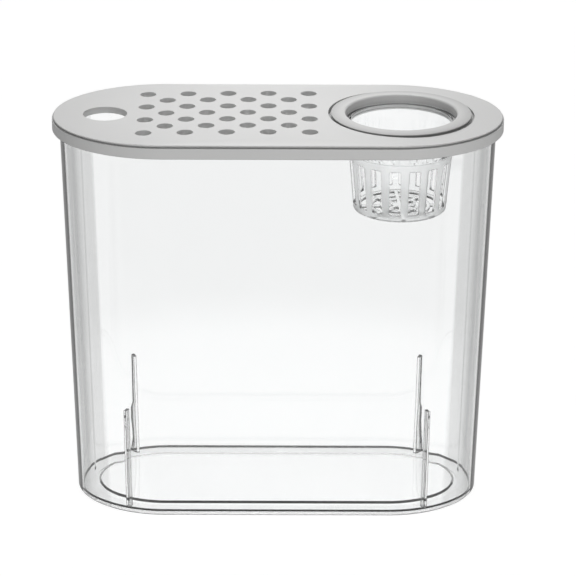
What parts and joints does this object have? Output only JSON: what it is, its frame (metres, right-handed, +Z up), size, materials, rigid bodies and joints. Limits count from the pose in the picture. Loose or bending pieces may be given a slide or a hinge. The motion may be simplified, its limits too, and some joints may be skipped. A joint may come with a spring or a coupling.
{
  "type": "betta fish tank",
  "caption": "Small clear plastic tank with rounded ends, a pale vented lid with a feeding hole, and a slotted planting basket hung in a raised ring.",
  "frame": {"origin": "middle of the tank's foot, on the surface it stands on", "axes": "+X along the tank towards the planter, -Y towards the viewer in front, +Z up"},
  "size_m": [0.2212, 0.0978, 0.2003],
  "materials": {
    "clear_tank": "clear gloss",
    "lid_plastic": "fine satin",
    "ring_plastic": "fine satin",
    "clear_basket": "clear gloss"
  },
  "bodies": {
    "tank": {"tank": "clear_tank"},
    "lid": {"lid": "lid_plastic"},
    "planter_ring": {"planter_ring": "ring_plastic"},
    "net_basket": {"net_basket": "clear_basket"}
  },
  "joints": [
    {"name": "lid_lift", "type": "slide", "parent": "tank", "child": "lid", "axis": [0, 0, 1], "range_m": [0, 0.08]},
    {"name": "ring_lift", "type": "slide", "parent": "lid", "child": "planter_ring", "axis": [0, 0, 1], "range_m": [0, 0.06]},
    {"name": "basket_lift", "type": "slide", "parent": "planter_ring", "child": "net_basket", "axis": [0, 0, 1], "range_m": [0, 0.06]}
  ]
}
